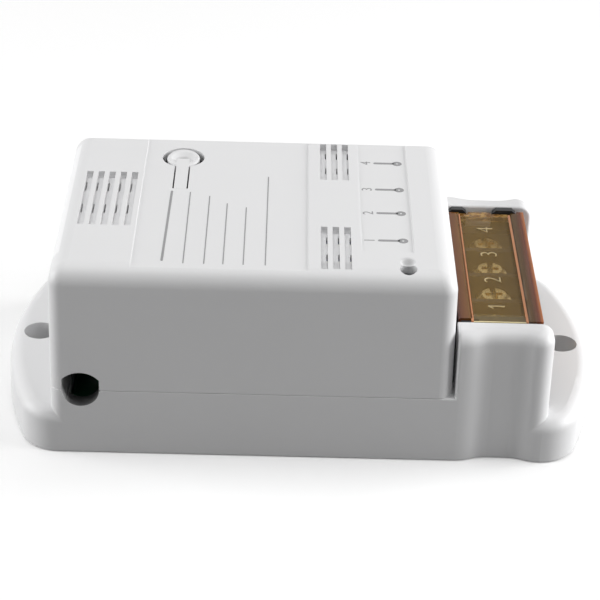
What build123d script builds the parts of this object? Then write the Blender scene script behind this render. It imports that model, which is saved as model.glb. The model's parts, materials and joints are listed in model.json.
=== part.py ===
from build123d import *
import os
from math import asin, degrees, sqrt

# Smart relay module, in millimetres. X runs along the module towards the terminals,
# Y from front to rear, Z up. The origin is the middle of the underside.

# Overall size
length = 105.6
width = 54.0
height = 36.0
parting_height = 12.7

# Clearances and helpers shared by all pieces
overrun = 1.0
touch = 0.02
loose_fit = 0.3
hole_clearance = 0.15

# Flanges with the mounting holes
flange_height = 8.3
flange_corner_inset = 10.92
flange_corner_radius = 7.0
flange_edge_radius = 2.4
left_flange_reach = 9.7
right_flange_reach = 9.8
mount_hole_radius = 2.95
mount_hole_to_tip = 5.1
waist_depth = 1.25
waist_run = 5.6
waist_lead = 1.0

# Base tray
wall = 2.0
floor = 2.2
lip_thickness = 0.9
lip_height = 1.2
lip_clearance = 0.15
cheek_height = 25.1
cheek_thickness = 5.3
cheek_corner_radius = 2.7
cheek_edge_radius = 2.3
cheek_lip_radius = 0.5
cheek_gap = 0.4
web = 2.4
pocket_roof = 2.0
foot_chamfer = 0.2
seam_chamfer = 0.25
body_corner_radius = 2.4

# Top cover
draft_angle = 0.5
cover_edge_radius = 3.4
cover_corner_radius = 2.4
cover_inner_radius = 1.6
panel_depth = 0.25
label_panel_inset = 13.9
label_panel_width = 29.9
mark_panel_inset = 7.3
mark_panel_width = 9.1
mark_panel_front_share = 0.33
apron_inset = 0.2
apron_thickness = 1.8
apron_gap = 0.5

# Vent slots in the cover
slot_width = 1.15
slot_pitch = 2.02
slot_depth = 1.3
slit_width = 0.2
slit_start_shares = [0.1, 0.51]
slit_length_share = 0.16
left_slots = 5
left_slot_inset = 4.3
left_slot_length = 20.6
right_slots = 3
right_slot_inset = 22.65
right_slot_length = 15.0
right_slot_to_middle = 9.1

# Keyhole push tab
tab_hole_radius = 3.87
tab_side_gap = 0.88
tab_end_gap = 0.3
tab_inset = 20.75
tab_to_rear = 9.6
tab_reach = 12.7
tab_arm_width = 2.26
tab_arm_gap = 0.28
tab_arm_thickness = 1.0
tab_pad_thickness = 1.4
tab_edge_bevel = 0.25
tab_dish_radius = 2.3
tab_dish_depth = 0.75
tab_tongue_to_middle = 0.5
tab_post_radius = 1.2

# Hole over the indicator, with a small scoop behind it
indicator_inset = 8.6
indicator_to_front = 3.5
indicator_hole_radius = 1.5
indicator_scoop_radius = 1.35
indicator_scoop_depth = 0.5
indicator_scoop_setback = 2.2

# Cable hole on the parting line
cable_hole_radius = 3.25
cable_hole_inset = 5.3
cable_arch_side = 1.9
cable_arch_rise = 1.5
cable_channel = 9.0

# Cover screws, driven from below
screw_radius = 1.25
screw_head_radius = 2.6
screw_head_height = 2.0
screw_sink = 0.6
screw_length = 16.0
screw_recess = 1.0
boss_radius = 2.6
boss_rib = 1.2
pillar_radius = 3.8
rear_left_boss_inset = 6.1
front_left_boss_inset = 14.1
right_boss_inset = 5.0
boss_to_side = 6.0
front_right_boss_to_side = 8.5

# Circuit board
board_thickness = 1.6
board_lift = 4.0
board_clearance = 0.3
support_radius = 2.0

# Terminal block
poles = 4
barrier_thickness = 1.3
block_depth = 13.6
block_to_cover = 1.2
block_to_sill = 0.6
sill_thickness = 1.6
end_cap = 2.4
block_floor_height = 5.8
back_wall_thickness = 1.4
back_wall_height = 13.1
barrier_height = 14.5
barrier_setback = 1.0
end_wall_thickness = 1.3
ear_height = 17.2
ear_slope = 0.7
left_ear_width = 3.4
right_ear_width = 4.4
right_ear_setback = 0.9
knuckle_width = 2.7

# Terminal hardware
contact_thickness = 1.0
contact_side_gap = 0.6
contact_setback = 1.2
tail_width = 3.0
tail_thickness = 0.8
tail_length = 3.0
clamp_margin = 0.3
clamp_thickness = 0.8
clamp_lift = 2.0
terminal_screw_radius = 1.65
head_margin = 0.1
terminal_head_height = 3.6
terminal_screw_length = 7.4
driver_slot_width = 1.0
driver_slot_depth = 1.1

# Terminal lid
lid_drop = 0.5
lid_thickness = 1.2
lid_overhang = 0.5
lid_to_cover = 0.7
lid_end_gap = 0.9
lid_strip_width = 2.4
lid_strip_rise = 0.25
lid_skirt_depth = 3.5
lid_skirt_thickness = 1.2
lid_edge_radius = 0.5
pivot_radius = 0.6
pivot_clearance = 0.06
pivot_cover = 0.5
pivot_inset = 1.6
pivot_below_top = 1.4
pivot_lug_radius = 1.05
pivot_lug_length = 1.3
pivot_pin_length = 1.0

# Relay
relay_length = 32.0
relay_width = 27.0
relay_below_ceiling = 5.8
relay_wall = 1.0
relay_to_cover_wall = 2.0
relay_base_thickness = 1.6
coil_inset = 11.5
core_radius = 3.2
bobbin_wall = 0.8
bobbin_flange = 0.9
winding_margin = 0.5
relay_headroom = 3.15
yoke_thickness = 1.6
yoke_width = 14.0
yoke_to_coil = 8.4
pole_gap = 0.65
armature_thickness = 1.5
armature_width = 12.0
armature_overlap = 5.0
armature_seat = 0.1
leaf_thickness = 0.4
leaf_width = 6.0
leaf_end_margin = 2.2
contact_radius = 1.6
contact_button = 0.7
contact_gap = 1.3
contact_kiss = 0.06
fixed_arm_thickness = 1.0
relay_pin_radius = 0.6
relay_pin_drop = 3.0

# Tact switch under the tab
switch_size = 6.0
switch_body_height = 3.5
switch_height = 12.0
switch_plunger_radius = 1.75
switch_travel = 0.35
switch_gap = 0.15

# Indicator
led_size = 2.0
led_height = 1.0
led_lens_radius = 0.7
pipe_radius = 1.25
pipe_below_top = 1.6
pipe_collar_wall = 0.8
pipe_collar_length = 9.0

# Radio module on edge at the left wall, and receiver on edge beside the relay
radio_length = 24.0
radio_height = 16.0
radio_board_thickness = 0.8
radio_inset = 1.2
shield_height = 2.4
shield_length = 15.0
shield_margin = 1.2
shield_wall = 0.3
receiver_length = 16.0
receiver_board_height = 11.0
receiver_thickness = 1.0
receiver_to_relay = 3.0
receiver_to_front = 9.0
antenna_radius = 2.6
antenna_bore_radius = 1.9
antenna_height = 12.0
antenna_to_relay = 1.0

# Power parts in rows behind and before the relay, listed from left to right
part_to_relay = 1.6
part_to_wall = 0.85
part_gap = 1.5
row_to_boss = 1.1
input_capacitor_height = 12.0
output_capacitor_height = 11.0
can_edge = 0.6
inductor_height = 5.4
rectifier_height = 3.2
fuse_height = 7.6
transistor_height = 5.0
leg_radius = 0.3
chip_length = 5.0
# How the row's length is shared, and how deep each part is against the row's depth
rear_row_shares = [0.36, 0.28, 0.36]
front_row_shares = [0.38, 0.38, 0.24]
front_depth_shares = [0.8, 0.52, 0.6]
chip_width = 4.0
chip_height = 1.6

# Levels and places that follow from the sizes above
front = -width / 2
rear = width / 2
tip = length / 2
body_left = -tip + left_flange_reach
body_right = tip - right_flange_reach
base_wall = wall + lip_clearance + lip_thickness
board_bottom = floor + board_lift
board_top = board_bottom + board_thickness
block_right = body_right - sill_thickness - block_to_sill
block_left = block_right - block_depth
cover_right = block_left - block_to_cover
cheek_left = cover_right + cheek_gap
web_left = cheek_left - web
bay_half = width / 2 - cheek_thickness
block_half = bay_half - loose_fit
pole_pitch = 2 * (block_half - end_cap) / poles
contact_width = pole_pitch - barrier_thickness - 2 * contact_side_gap
clamp_size = contact_width - 2 * clamp_margin
terminal_head_radius = clamp_size / 2 - head_margin
mount_x = tip - mount_hole_to_tip
inner_left = body_left + base_wall
inner_side = width / 2 - base_wall
panel_top = height - panel_depth
ceiling = height - wall
tab_x = body_left + tab_inset
tab_y = rear - tab_to_rear
fold_y = tab_y - tab_reach
indicator_x = cover_right - indicator_inset
indicator_y = front + indicator_to_front
relay_right = cover_right - wall - relay_to_cover_wall
relay_left = relay_right - relay_length
relay_height = ceiling - relay_below_ceiling - board_top
switch_top = board_top + switch_height


def block(x0, x1, y0, y1, z0, z1):
    """A box between two corners"""
    return Pos((x0 + x1) / 2, (y0 + y1) / 2, (z0 + z1) / 2) * Box(x1 - x0, y1 - y0, z1 - z0)


def post(x, y, z0, z1, radius):
    """An upright cylinder"""
    return Pos(x, y, (z0 + z1) / 2) * Cylinder(radius, z1 - z0)


def rod(x, z, y0, y1, radius):
    """A cylinder lying along Y"""
    return Pos(x, (y0 + y1) / 2, z) * Rot(90, 0, 0) * Cylinder(radius, y1 - y0)


def scoop(x, y, level, radius, depth):
    """A shallow round hollow: the ball that leaves a circle of this radius and depth in a level face"""
    ball = (radius * radius + depth * depth) / (2 * depth)
    return Pos(x, y, level + ball - depth) * Sphere(ball)


def arc(start, end, centre):
    """The short arc from start to end about centre"""
    start, end, centre = Vector(*start), Vector(*end), Vector(*centre)
    half_way = (start + end) / 2 - centre
    radius = (start - centre).length
    return ThreePointArc(start, centre + half_way.normalized() * radius, end)


def s_curve(start, end):
    """Two equal arcs that leave start and reach end along X"""
    run, rise = end[0] - start[0], end[1] - start[1]
    radius = (run * run + rise * rise) / (4 * rise)
    middle = ((start[0] + end[0]) / 2, (start[1] + end[1]) / 2)
    first = arc(start, middle, (start[0], start[1] + radius))
    return [first, arc(middle, end, (end[0], end[1] - radius))]


def mirrored_face(front_half):
    """The closed outline made of a front half and its mirror image at the rear"""
    edges = []
    for line in front_half:
        edges.append(line)
        edges.append(mirror(line, Plane.XZ))
    return make_face(edges)


def flange_corner():
    """The right front corner arc's centre, the end arc's radius, and where the two arcs meet"""
    centre = (tip - flange_corner_inset, front + flange_corner_radius)
    spare = flange_corner_inset * flange_corner_inset + centre[1] * centre[1]
    spare -= flange_corner_radius * flange_corner_radius
    end_radius = spare / (2 * (flange_corner_inset - flange_corner_radius))
    end_centre_x = tip - end_radius
    grow = end_radius / (end_radius - flange_corner_radius)
    meet = (end_centre_x + (centre[0] - end_centre_x) * grow, centre[1] * grow)
    return centre, end_radius, meet


corner_centre, flange_end_radius, corner_meet = flange_corner()
waist_start = (cover_right + waist_lead, front)
waist_in = (waist_start[0] + waist_run, front + waist_depth)
waist_out = (corner_centre[0] - waist_run, front + waist_depth)
waist_end = (corner_centre[0], front)


def flange_face():
    """Plan of the whole base: two round ends, and a waist beside the terminals"""
    left_centre = (-corner_centre[0], corner_centre[1])
    left_meet = (-corner_meet[0], corner_meet[1])
    half = [arc((-tip, 0), left_meet, (flange_end_radius - tip, 0))]
    half.append(arc(left_meet, (left_centre[0], front), left_centre))
    half.append(Line((left_centre[0], front), waist_start))
    half += s_curve(waist_start, waist_in)
    half.append(Line(waist_in, waist_out))
    half += s_curve(waist_out, waist_end)
    half.append(arc(waist_end, corner_meet, corner_centre))
    half.append(arc(corner_meet, (tip, 0), (tip - flange_end_radius, 0)))
    return mirrored_face(half)


def body_face():
    """Plan of the walls above the flanges, which share the front line and the waist"""
    swell = (waist_run * waist_run + waist_depth * waist_depth) / (4 * waist_depth)
    swell_centre = (waist_end[0], front + swell)
    reach = swell - cheek_corner_radius
    centre_x = body_right - cheek_corner_radius
    drop = sqrt(reach * reach - (centre_x - swell_centre[0]) * (centre_x - swell_centre[0]))
    centre = (centre_x, swell_centre[1] - drop)
    grow = swell / reach
    meet = (swell_centre[0] + (centre[0] - swell_centre[0]) * grow, swell_centre[1] - drop * grow)
    middle = ((waist_out[0] + waist_end[0]) / 2, (waist_out[1] + waist_end[1]) / 2)
    left_arc_end = (body_left + body_corner_radius, front)
    left_arc_start = (body_left, front + body_corner_radius)
    left_arc_centre = (body_left + body_corner_radius, front + body_corner_radius)
    half = [Line((body_left, 0), left_arc_start)]
    half.append(arc(left_arc_start, left_arc_end, left_arc_centre))
    half.append(Line(left_arc_end, waist_start))
    half += s_curve(waist_start, waist_in)
    half.append(Line(waist_in, waist_out))
    half.append(arc(waist_out, middle, (waist_out[0], waist_out[1] - swell)))
    half.append(arc(middle, meet, swell_centre))
    half.append(arc(meet, (body_right, centre[1]), centre))
    half.append(Line((body_right, centre[1]), (body_right, 0)))
    return mirrored_face(half)


def cable_cutter():
    """Round below the parting line and arched above it, through the front wall and along the left one"""
    x = body_left + cable_hole_inset
    low, high = (-cable_hole_radius, 0), (cable_hole_radius, 0)
    side = cable_arch_side
    edges = [ThreePointArc(low, (0, -cable_hole_radius), high)]
    edges.append(Line(high, (cable_hole_radius, side)))
    edges.append(ThreePointArc((cable_hole_radius, side), (0, side + cable_arch_rise), (-cable_hole_radius, side)))
    edges.append(Line((-cable_hole_radius, side), low))
    plane = Plane((x, front - overrun, parting_height), x_dir=(1, 0, 0), z_dir=(0, -1, 0))
    return extrude(plane * make_face(edges), -overrun - cable_channel)


def boss_places():
    """Where the four cover screws stand, as x, y"""
    side = width / 2 - boss_to_side
    right = cover_right - right_boss_inset
    return [
        (body_left + rear_left_boss_inset, side),
        (body_left + front_left_boss_inset, -side),
        (right, side),
        (right, -width / 2 + front_right_boss_to_side),
    ]


def edges_between(shape, low, high, axis):
    """The edges whose middle lies between two levels of an axis"""
    return shape.edges().filter_by_position(axis, low, high)


def base_housing():
    flange = extrude(flange_face(), flange_height)
    flange = fillet(edges_between(flange, flange_height - touch, flange_height + touch, Axis.Z),
                    flange_edge_radius)
    body = extrude(body_face(), cheek_height)
    body -= block(body_left - overrun, cheek_left, front - overrun, rear + overrun,
                  -overrun, cheek_height + overrun)
    body -= block(web_left, body_right + overrun, -bay_half, bay_half, flange_height, cheek_height + overrun)
    top = edges_between(body, cheek_height - touch, cheek_height + touch, Axis.Z)
    outer = [e for e in top if abs(e.center().Y) >= bay_half + touch and e.center().X > cheek_left + touch]
    body = fillet(outer, cheek_edge_radius)
    top = edges_between(body, cheek_height - touch, cheek_height + touch, Axis.Z)
    inner = [e for e in top if abs(e.center().Y) < bay_half + touch or e.center().X < cheek_left + touch]
    body = fillet(inner, cheek_lip_radius)
    base = flange + body + tray_walls()
    rim = base.faces().sort_by(Axis.Z)[0].outer_wire().edges()
    base = chamfer(rim, foot_chamfer)
    base -= block(inner_left, web_left, -inner_side, inner_side, floor, parting_height + overrun)
    base -= block(web_left - overrun, body_right - sill_thickness, -bay_half, bay_half,
                  floor, cheek_height + overrun)
    base += lip_ring()
    base = add_pillars(base)
    for side in (1, -1):
        base -= post(side * mount_x, 0, -overrun, flange_height + overrun, mount_hole_radius)
    base -= flange_pockets()
    return base - cable_cutter()


def tray_walls():
    """The tray's block up to the parting line, where a small bevel marks the joint with the cover"""
    tray = extrude(body_face(), parting_height)
    tray -= block(cheek_left + cheek_lip_radius + touch, tip, front - overrun, rear + overrun,
                  -overrun, parting_height + overrun)
    rim = edges_between(tray, parting_height - touch, parting_height + touch, Axis.Z)
    return chamfer([e for e in rim if e.center().X < cheek_left - touch], seam_chamfer)


def lip_ring():
    """The tongue that stands up inside the cover on three sides"""
    outer = wall + lip_clearance
    top = parting_height + lip_height
    left = body_left + outer
    side = width / 2 - outer
    right = cover_right - wall - cover_inner_radius
    ring = block(left, right, -side, side, parting_height - touch, top)
    ring = fillet(edges_between(ring, left - touch, left + touch, Axis.X).filter_by(Axis.Z), cover_inner_radius)
    ring -= block(left + lip_thickness, right + overrun, -side + lip_thickness, side - lip_thickness,
                  parting_height - overrun, top + overrun)
    return ring


def add_pillars(base):
    """Screw pillars with sunk seats, and two plain supports below the terminals"""
    seat = screw_sink + screw_head_height
    for x, y in boss_places():
        base += post(x, y, floor - touch, board_bottom, pillar_radius)
        base -= post(x, y, -overrun, board_bottom + overrun, screw_radius + hole_clearance + hole_clearance)
        base -= post(x, y, -overrun, seat, screw_head_radius + loose_fit)
    for side in (1, -1):
        y = side * (block_half - support_radius - loose_fit)
        base += post(block_right - support_radius, y, floor - touch, board_bottom, support_radius)
    return base


def flange_pockets():
    """Hollows below the flanges, as the moulding is cored from underneath"""
    inside = offset(flange_face(), -wall, kind=Kind.INTERSECTION)
    pockets = extrude(inside, flange_height - pocket_roof)
    pockets -= block(body_left, body_right, front, rear, -overrun, flange_height)
    for side in (1, -1):
        pockets -= post(side * mount_x, 0, -overrun, flange_height, mount_hole_radius + wall)
    return Pos(0, 0, -touch) * pockets


def cover_shell():
    """Tapered outer block with rounded edges, less the room inside"""
    middle = (body_left + cover_right) / 2
    plan = Pos(middle, 0, parting_height) * Rectangle(cover_right - body_left, width)
    shell = extrude(plan, amount=height - parting_height, taper=draft_angle)
    shell = fillet(shell.faces().sort_by(Axis.Z)[-1].edges(), cover_edge_radius)
    corner_x = (cover_right - body_left) / 2 - cover_edge_radius
    corner_y = width / 2 - cover_edge_radius
    corners = []
    for edge in shell.edges():
        place = edge.center()
        if abs(place.X - middle) > corner_x - touch and abs(place.Y) > corner_y - touch:
            if edge.bounding_box().size.Z > overrun:
                corners.append(edge)
    shell = fillet(corners, cover_corner_radius)
    room_plan = Pos(middle, 0, parting_height - overrun) * RectangleRounded(
        cover_right - body_left - 2 * wall, width - 2 * wall, cover_inner_radius)
    room = extrude(room_plan, amount=ceiling - parting_height + overrun, taper=draft_angle / 2)
    room = fillet(room.faces().sort_by(Axis.Z)[-1].edges(), cover_inner_radius / 2)
    return shell - room


def cover_bosses():
    """Screw bosses, each with a rib to the nearest side wall"""
    solids = []
    for x, y in boss_places():
        side = 1 if y > 0 else -1
        reach = side * (width / 2 - wall)
        boss = post(x, y, board_top, ceiling + wall / 2, boss_radius)
        boss += block(x - boss_rib / 2, x + boss_rib / 2, min(y, reach), max(y, reach),
                      parting_height + lip_height + loose_fit, ceiling + wall / 2)
        boss -= post(x, y, board_top - overrun, screw_sink + screw_length + overrun + screw_head_height,
                     screw_radius + hole_clearance)
        solids.append(boss)
    return solids


def slot_places():
    """Each vent slot as x, its two ends along Y, and the side of X on which its slits lie"""
    places = []
    left = body_left + left_slot_inset
    half = left_slot_length / 2
    for i in range(left_slots):
        places.append((left + i * slot_pitch, -half, half, -1))
    left = cover_right - right_slot_inset
    far = right_slot_to_middle + right_slot_length
    for i in range(right_slots):
        x = left + i * slot_pitch
        places.append((x, right_slot_to_middle, far, 1))
        places.append((x, -far, -right_slot_to_middle, 1))
    return places


def vent_cutter(x, y0, y1, side):
    """A blind slot with two short slits through its floor, along one edge"""
    cutter = block(x - slot_width / 2, x + slot_width / 2, y0, y1, height - slot_depth, height + overrun)
    outer = x + side * slot_width / 2
    inner = outer - side * slit_width
    for share in slit_start_shares:
        end = y1 - (y1 - y0) * share
        cutter += block(min(inner, outer), max(inner, outer), end - (y1 - y0) * slit_length_share, end,
                        ceiling - overrun, height)
    return cutter


def top_cover():
    cover = cover_shell()
    for boss in cover_bosses():
        cover += boss
    collar = post(indicator_x, indicator_y, ceiling - pipe_collar_length, ceiling + wall / 2,
                  pipe_radius + hole_clearance + pipe_collar_wall)
    cover += collar - post(indicator_x, indicator_y, 0, height, pipe_radius + hole_clearance)
    apron_right = cover_right - apron_inset
    cover += block(apron_right - apron_thickness, apron_right, -bay_half + loose_fit, bay_half - loose_fit,
                   board_top + apron_gap, parting_height + overrun)
    label_left = body_left + label_panel_inset
    cover -= block(label_left, label_left + label_panel_width, front - overrun, rear + overrun,
                   panel_top, height + overrun)
    mark_right = cover_right - mark_panel_inset
    cover -= block(mark_right - mark_panel_width, mark_right, -width * mark_panel_front_share, rear + overrun,
                   panel_top, height + overrun)
    for x, y0, y1, side in slot_places():
        cover -= vent_cutter(x, y0, y1, side)
    cover -= keyhole()
    cover -= scoop(indicator_x, indicator_y + indicator_scoop_setback, height, indicator_scoop_radius,
                   indicator_scoop_depth)
    cover -= post(indicator_x, indicator_y, ceiling - overrun, height + overrun, indicator_hole_radius)
    return cover - cable_cutter()


def keyhole():
    """The opening round the push tab"""
    half = tab_arm_width / 2 + tab_arm_gap
    opening = post(tab_x, tab_y, ceiling - overrun, height + overrun, tab_hole_radius)
    return opening + block(tab_x - half, tab_x + half, fold_y, tab_y, ceiling - overrun, height + overrun)


def button_tab():
    """Dished pad, flat arm that runs into the dish, and post in one moulding; the arm ends at the fold line"""
    wide, long = tab_hole_radius - tab_side_gap, tab_hole_radius - tab_end_gap
    half = tab_arm_width / 2
    low = panel_top - tab_pad_thickness
    pad = extrude(Pos(tab_x, tab_y, low) * Ellipse(wide, long), tab_pad_thickness)
    pad = chamfer(pad.faces().sort_by(Axis.Z)[-1].edges(), tab_edge_bevel)
    pad -= scoop(tab_x, tab_y, panel_top, tab_dish_radius, tab_dish_depth)
    tab = pad + block(tab_x - half, tab_x + half, fold_y + touch, tab_y - tab_tongue_to_middle,
                      panel_top - tab_arm_thickness, panel_top)
    return tab + post(tab_x, tab_y, switch_top + switch_gap, low + touch, tab_post_radius)


def cover_screws():
    """Pan-head screws with a cross recess"""
    solids = []
    seat = screw_sink + screw_head_height
    for x, y in boss_places():
        head = post(x, y, screw_sink, seat, screw_head_radius)
        head = chamfer(head.edges().sort_by(Axis.Z)[0], screw_sink)
        screw = head + post(x, y, seat - touch, seat + screw_length, screw_radius)
        slot = screw_radius / 2
        arm = screw_head_radius / 2
        screw -= block(x - slot / 2, x + slot / 2, y - arm, y + arm, -overrun, screw_recess + screw_sink)
        screw -= block(x - arm, x + arm, y - slot / 2, y + slot / 2, -overrun, screw_recess + screw_sink)
        solids.append(screw)
    return solids


def pole_places():
    """The middle of each pole along Y"""
    return [(i - (poles - 1) / 2) * pole_pitch for i in range(poles)]


def circuit_board():
    side = inner_side - board_clearance
    right = body_right - sill_thickness - board_clearance
    board = block(inner_left + board_clearance, web_left - board_clearance, -side, side,
                  board_bottom, board_top)
    tail = bay_half - board_clearance
    board += block(web_left - board_clearance - overrun, right, -tail, tail, board_bottom, board_top)
    for x, y in boss_places():
        board -= post(x, y, 0, board_top + overrun, screw_radius + 2 * hole_clearance)
    for y in pole_places():
        half = tail_width / 2 + hole_clearance
        x = terminal_x() - contact_width / 2 + tail_thickness
        board -= block(x - hole_clearance, x + tail_thickness + hole_clearance, y - half, y + half,
                       0, board_top + overrun)
    for x, y in relay_pin_places():
        board -= post(x, y, 0, board_top + overrun, relay_pin_radius + hole_clearance)
    return board


def terminal_x():
    """The line of the terminal screws"""
    return (block_left + back_wall_thickness + block_right - barrier_setback) / 2


def terminal_block():
    floor_top = board_top + block_floor_height
    solid = block(block_left, block_right, -block_half, block_half, board_top, floor_top)
    solid += block(block_left, block_left + back_wall_thickness, -block_half, block_half,
                   floor_top - touch, board_top + back_wall_height)
    barrier_right = block_right - barrier_setback
    for i in range(1, poles):
        y = (i - poles / 2) * pole_pitch
        low, high = y - barrier_thickness / 2, y + barrier_thickness / 2
        solid += block(block_left + touch, barrier_right, low, high, floor_top - touch,
                       board_top + back_wall_height)
        solid += block(barrier_left(), barrier_right, low, high, floor_top - touch, board_top + barrier_height)
    pole_end = poles / 2 * pole_pitch - barrier_thickness / 2
    for side in (1, -1):
        solid += block(block_left, barrier_right, min(side * pole_end, side * block_half),
                       max(side * pole_end, side * block_half), floor_top - touch, board_top + back_wall_height)
    for solid_ear in block_ears():
        solid += solid_ear
    solid -= rod(pivot_x(), pivot_z(), -block_half - overrun, block_half + overrun,
                 pivot_radius + pivot_clearance)
    for y in pole_places():
        solid -= post(terminal_x(), y, floor_top - terminal_screw_length, floor_top + overrun,
                      terminal_screw_radius + hole_clearance + hole_clearance)
        half = tail_width / 2 + hole_clearance
        x = terminal_x() - contact_width / 2 + tail_thickness
        solid -= block(x - hole_clearance, x + tail_thickness + hole_clearance, y - half, y + half,
                       0, floor_top + overrun)
    return solid


def barrier_left():
    """The tall part of a barrier starts clear of the lid's swing"""
    return pivot_x() + pivot_inset


def pivot_x():
    return lid_left() + pivot_inset


def pivot_z():
    return lid_top() - pivot_below_top


def lid_left():
    return cover_right + lid_to_cover


def lid_top():
    return cheek_height - lid_drop


def block_ears():
    """Two ears at the rear end and the low bearing at the front end"""
    low = board_top + back_wall_height - touch
    ear_top = board_top + ear_height
    rear_face, rear_inner = block_half, block_half - end_wall_thickness
    ears = []
    left = pivot_x() - pivot_radius - pivot_cover
    spans = [(left, left + left_ear_width)]
    right = block_right - right_ear_setback
    spans.append((right - right_ear_width, right))
    for x0, x1 in spans:
        profile = Polyline((x0, low), (x1, low), (x1, ear_top - ear_slope), (x1 - ear_slope, ear_top),
                           (x0 + ear_slope, ear_top), (x0, ear_top - ear_slope), close=True)
        plane = Plane((0, rear_face, 0), x_dir=(1, 0, 0), z_dir=(0, -1, 0))
        ears.append(extrude(plane * make_face(profile), rear_face - rear_inner))
    knuckle_top = pivot_z() + pivot_radius + pivot_cover
    ears.append(block(left, left + knuckle_width, -rear_face, -rear_inner, low, knuckle_top))
    return ears


def terminal_contacts():
    """A brass plate with a solder tail for each pole"""
    low = board_top + block_floor_height
    x = terminal_x()
    half = contact_width / 2
    solids = []
    for y in pole_places():
        plate = block(x - half, x + half, y - half, y + half, low, low + contact_thickness)
        tail = x - half + tail_thickness
        plate += block(tail, tail + tail_thickness, y - tail_width / 2, y + tail_width / 2,
                       board_bottom - tail_length, low + touch)
        plate -= post(x, y, low - overrun, low + contact_thickness + overrun,
                      terminal_screw_radius + hole_clearance)
        solids.append(plate)
    return solids


def clamp_bottom():
    return board_top + block_floor_height + contact_thickness + clamp_lift


def terminal_clamps():
    """Square saddle washers, bent down along two sides"""
    low = clamp_bottom()
    x = terminal_x()
    half = clamp_size / 2
    solids = []
    for y in pole_places():
        plate = block(x - half, x + half, y - half, y + half, low, low + clamp_thickness)
        for side in (1, -1):
            outer, inner = side * half, side * (half - clamp_thickness)
            plate += block(x - half, x + half, y + min(outer, inner), y + max(outer, inner),
                           low - clamp_thickness, low + touch)
        plate -= post(x, y, low - overrun, low + clamp_thickness + overrun,
                      terminal_screw_radius + hole_clearance)
        solids.append(plate)
    return solids


def terminal_screws():
    """Pan-head screws with a slot, turned a little so that no two slots line up"""
    seat = clamp_bottom() + clamp_thickness
    top = seat + terminal_head_height
    turn_shares = [0.46, 0.53, 0.48, 0.57]
    solids = []
    for i, y in enumerate(pole_places()):
        head = post(0, 0, seat, top, terminal_head_radius)
        head = chamfer(head.edges().sort_by(Axis.Z)[-1], terminal_head_height / 4)
        half = driver_slot_width / 2
        reach = terminal_head_radius + overrun
        head -= block(-reach, reach, -half, half, top - driver_slot_depth, top + overrun)
        reach = terminal_head_radius / 2
        head -= block(-half, half, -reach, reach, top - driver_slot_depth, top + overrun)
        screw = head + post(0, 0, seat - terminal_screw_length, seat + touch, terminal_screw_radius)
        solids.append(Pos(terminal_x(), y, 0) * Rot(0, 0, 180 * turn_shares[i % len(turn_shares)]) * screw)
    return solids


def terminal_lid():
    """Amber lid: plate, two raised strips, a skirt on the wire side, and pivot pins"""
    top, left = lid_top(), lid_left()
    under = top - lid_thickness
    right = block_right + lid_overhang
    half = bay_half - loose_fit - lid_end_gap
    plate = block(left, right, -half, half, under, top)
    plate = fillet(edges_between(plate, left - touch, left + touch, Axis.X).filter_by(Axis.Y), lid_edge_radius)
    plate += block(right - lid_skirt_thickness, right, -half, half, top - lid_skirt_depth, top - touch)
    plate -= block(left + lid_strip_width, right - lid_strip_width, -half - overrun, half + overrun,
                   top - lid_strip_rise, top + overrun)
    notch = block_half - end_wall_thickness - loose_fit
    ear_left = pivot_x() - pivot_radius - pivot_cover
    plate -= block(left - overrun, ear_left + left_ear_width + loose_fit, notch, half + overrun,
                   under - overrun, top + overrun)
    plate -= block(left - overrun, ear_left + knuckle_width + loose_fit, -half - overrun, -notch,
                   under - overrun, top + overrun)
    ear_right = block_right - right_ear_setback
    plate -= block(ear_right - right_ear_width - loose_fit, ear_right + loose_fit / 2, notch, half + overrun,
                   under - overrun, top + overrun)
    for side in (1, -1):
        inner, outer = side * (notch - pivot_lug_length), side * notch
        plate += rod(pivot_x(), pivot_z(), min(inner, outer), max(inner, outer), pivot_lug_radius)
        pin_end = side * (notch + loose_fit + pivot_pin_length)
        plate += rod(pivot_x(), pivot_z(), min(inner, pin_end), max(inner, pin_end), pivot_radius)
    return plate


def relay_x(offset_x):
    """A place measured from the left end of the relay"""
    return relay_left + offset_x


def relay_pin_places():
    """Two coil pins at the left and three contact pins at the right"""
    side = relay_width / 2 - relay_wall - relay_pin_radius - relay_base_thickness
    left = relay_x(relay_wall + relay_base_thickness)
    right = relay_right - relay_wall - relay_base_thickness
    return [(left, side), (left, -side), (right, 0), (right, side), (right, -side)]


def relay_floor():
    return board_top + relay_base_thickness


def relay_base():
    gap = relay_wall + hole_clearance
    side = relay_width / 2 - gap
    plate = block(relay_left + gap, relay_right - gap, -side, side, board_top, relay_floor())
    for x, y in relay_pin_places():
        plate -= post(x, y, 0, relay_floor() + overrun, relay_pin_radius + hole_clearance)
    return plate


def relay_case():
    side = relay_width / 2
    case = block(relay_left, relay_right, -side, side, board_top, board_top + relay_height)
    case = fillet(case.edges().filter_by(Axis.Z), relay_wall)
    return case - block(relay_left + relay_wall, relay_right - relay_wall, -side + relay_wall,
                        side - relay_wall, board_top - overrun, board_top + relay_height - relay_wall)


def coil_x():
    return relay_x(coil_inset)


def yoke_base_top():
    return relay_floor() + yoke_thickness


def hinge_level():
    """Top of the yoke's upright, where the armature rocks, with room above for armature and leaf"""
    return (board_top + relay_height - relay_wall - relay_headroom - leaf_thickness - armature_thickness
            - armature_seat)


def core_top():
    return hinge_level() + armature_seat - pole_gap


def bobbin_top():
    return core_top() - armature_seat


def hinge_x():
    """Inner edge of the yoke's upright"""
    return coil_x() - yoke_to_coil + yoke_thickness


def bobbin_radius():
    """The bobbin's ends just clear the yoke's upright"""
    return coil_x() - hinge_x() - hole_clearance


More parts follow.
